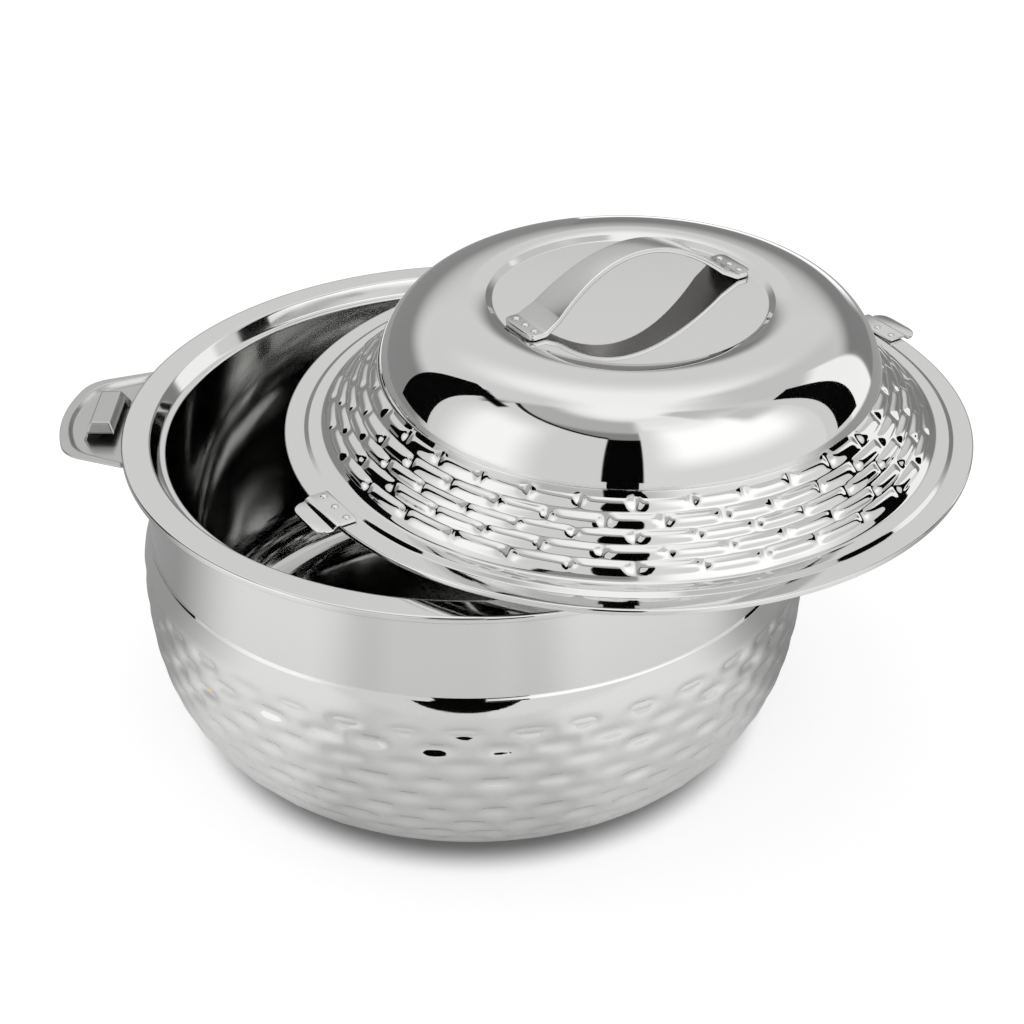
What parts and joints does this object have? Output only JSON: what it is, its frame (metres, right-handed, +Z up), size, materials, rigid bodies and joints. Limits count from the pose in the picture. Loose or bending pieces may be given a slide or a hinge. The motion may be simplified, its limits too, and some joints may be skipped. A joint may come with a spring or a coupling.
{
  "type": "insulated casserole",
  "caption": "Round double-walled stainless steel casserole with side handles and a domed, hammered-band lid with a strap handle and twist-lock tabs, laid off-centre on the rim.",
  "frame": {"origin": "centre of the bowl's base, on the surface that it stands on", "axes": "+Z up along the bowl's axis; the two side handles lie on X, the left one at -X; -Y is the front, from where the picture is taken"},
  "size_m": [0.3872, 0.3072, 0.2285],
  "materials": {
    "polished_steel": "mirror-polished stainless steel",
    "satin_steel": "satin stainless steel",
    "brushed_steel": "fine brushed stainless steel",
    "insulation_foam": "rigid polyurethane foam, hidden between the sheets",
    "rubber": "matt"
  },
  "bodies": {
    "bowl": {"inner_pot": "polished_steel", "outer_shell": "polished_steel", "bowl_insulation": "insulation_foam", "base_plate": "satin_steel", "foam_fill_plug": "rubber", "side_handle_left": "satin_steel", "side_handle_right": "satin_steel", "handle_rivet_left_front": "satin_steel", "handle_rivet_left_back": "satin_steel", "handle_rivet_right_front": "satin_steel", "handle_rivet_right_back": "satin_steel"},
    "lid_core": {"lid_insulation": "insulation_foam"},
    "lid": {"lid_cover": "polished_steel", "lid_liner": "polished_steel", "lid_strap_handle": "brushed_steel", "lock_tab_left": "satin_steel", "lock_tab_right": "satin_steel", "strap_rivet_left_1": "satin_steel", "strap_rivet_left_2": "satin_steel", "strap_rivet_left_3": "satin_steel", "strap_rivet_right_1": "satin_steel", "strap_rivet_right_2": "satin_steel", "strap_rivet_right_3": "satin_steel", "tab_rivet_left_1": "satin_steel", "tab_rivet_left_2": "satin_steel", "tab_rivet_left_3": "satin_steel", "tab_rivet_right_1": "satin_steel", "tab_rivet_right_2": "satin_steel", "tab_rivet_right_3": "satin_steel"}
  },
  "joints": [
    {"name": "lid_lift", "type": "slide", "parent": "bowl", "child": "lid_core", "axis": [0, 0, 1], "range_m": [0, 0.2]},
    {"name": "lid_twist", "type": "hinge", "parent": "lid_core", "child": "lid", "pos_m": [0.0655, -0.013, 0.1484], "axis": [0, 0, 1], "range_deg": [-20, 0]}
  ]
}
